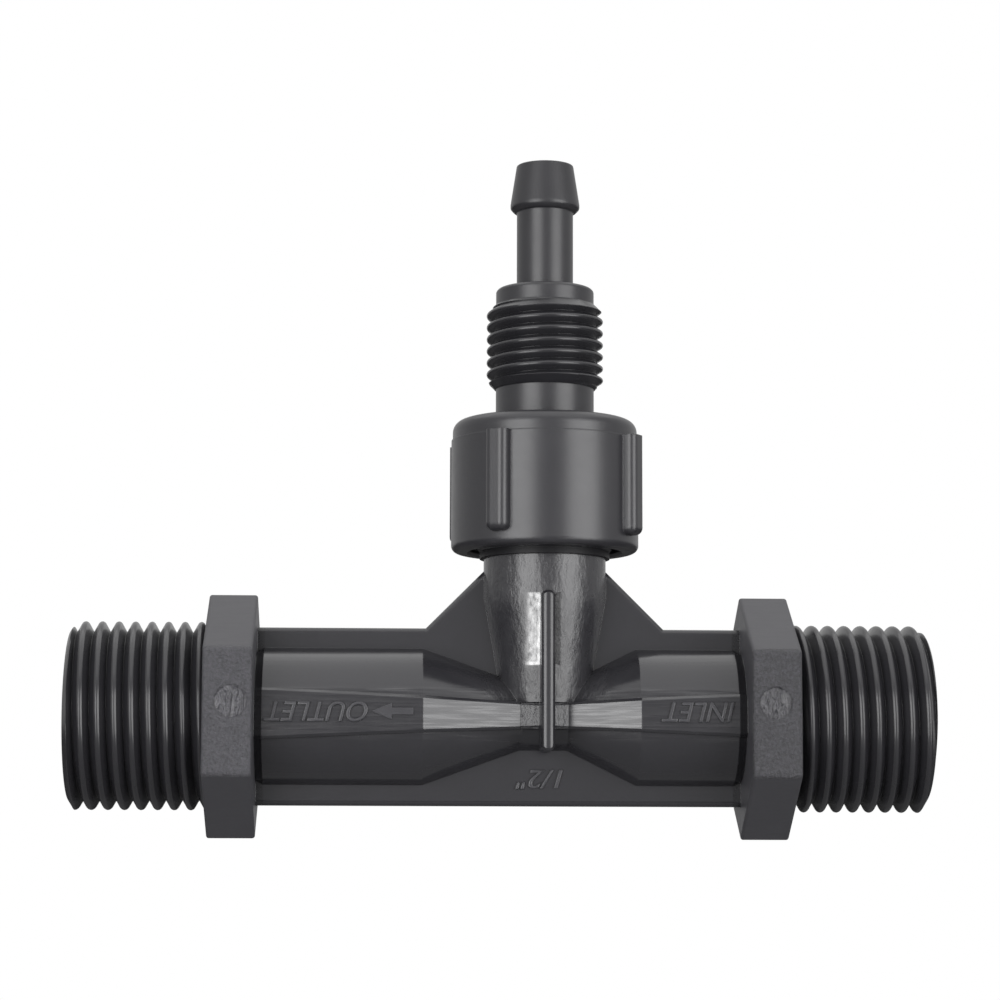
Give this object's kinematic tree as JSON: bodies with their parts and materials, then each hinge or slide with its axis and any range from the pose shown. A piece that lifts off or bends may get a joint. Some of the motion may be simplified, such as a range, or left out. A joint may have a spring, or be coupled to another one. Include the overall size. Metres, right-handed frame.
{
  "type": "venturi injector",
  "caption": "Venturi injector with two threaded pipe ends, a waisted and webbed tube, and a suction port with a union nut and a hose barb.",
  "frame": {"origin": "where the water axis and the suction axis cross", "axes": "+X along the water axis towards the inlet, +Z along the suction axis towards the hose barb, +Y through the back strip"},
  "size_m": [0.0942, 0.0232, 0.0758],
  "materials": {
    "charcoal_plastic": "satin moulded, charcoal",
    "seal_rubber": "matt black",
    "valve_steel": "bright stainless"
  },
  "bodies": {
    "injector": {"injector_body": "charcoal_plastic", "flange_seal": "seal_rubber", "check_spring": "valve_steel"},
    "suction": {"suction_nipple": "charcoal_plastic"},
    "nut": {"union_nut": "charcoal_plastic"},
    "check_ball": {"check_ball": "valve_steel"}
  },
  "joints": [
    {"name": "nipple_lift", "type": "slide", "parent": "injector", "child": "suction", "axis": [0, 0, 1], "range_m": [0, 0.00803]},
    {"name": "nut_turn", "type": "hinge", "parent": "suction", "child": "nut", "pos_m": [0, 0, 0.0259], "axis": [0, 0, 1], "range_deg": [0, 2160]},
    {"name": "ball_open", "type": "slide", "parent": "injector", "child": "check_ball", "axis": [0, 0, -1], "range_m": [0, 0.0015], "stiffness_N_per_m": 100, "springref_m": -0.002, "deforming": ["check_spring"]}
  ],
  "couplings": [
    {"joint": "nipple_lift", "follows": "nut_turn", "m_per_rad": 0.00021279}
  ]
}
